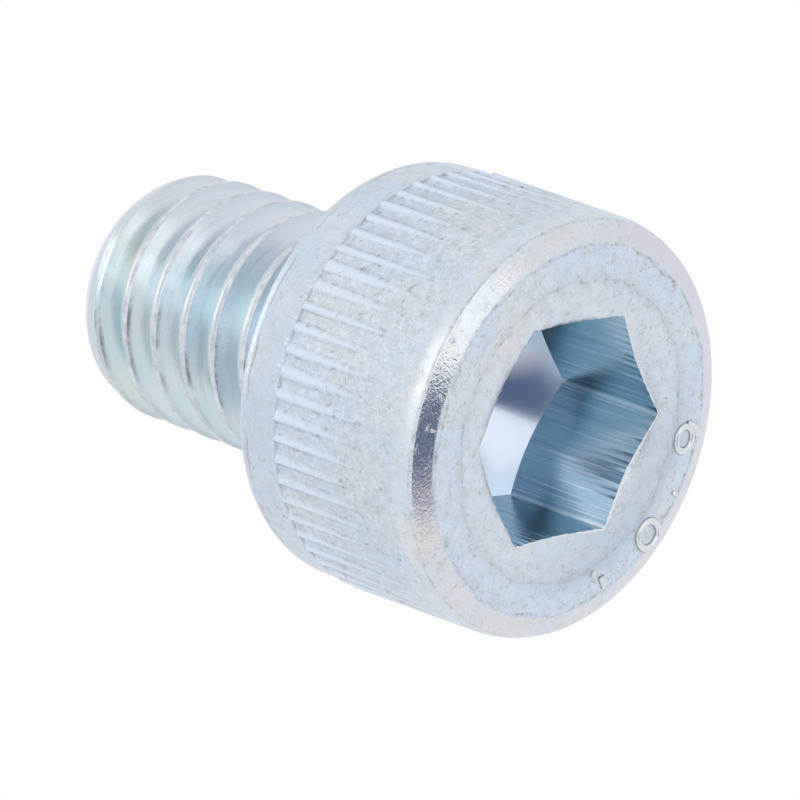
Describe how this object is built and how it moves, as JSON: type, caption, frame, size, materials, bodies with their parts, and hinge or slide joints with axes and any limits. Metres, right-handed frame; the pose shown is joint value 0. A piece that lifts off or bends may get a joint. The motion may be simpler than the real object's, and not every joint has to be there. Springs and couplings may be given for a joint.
{
  "type": "socket head cap screw",
  "caption": "Short socket head cap screw: round straight-knurled head with a hexagon key socket, a coarse right-hand thread and a chamfered tip, in zinc-plated steel.",
  "frame": {"origin": "centre of the flat face of the head, where the screw stands on a table", "axes": "+Z along the screw's axis from the face of the head to the tip of the thread, +X through a corner of the hexagon socket"},
  "size_m": [0.01, 0.01, 0.0139],
  "materials": {
    "zinc_plated_steel": "satin clear-passivated zinc plate"
  },
  "bodies": {
    "root": {"socket_screw": "zinc_plated_steel"}
  },
  "joints": []
}
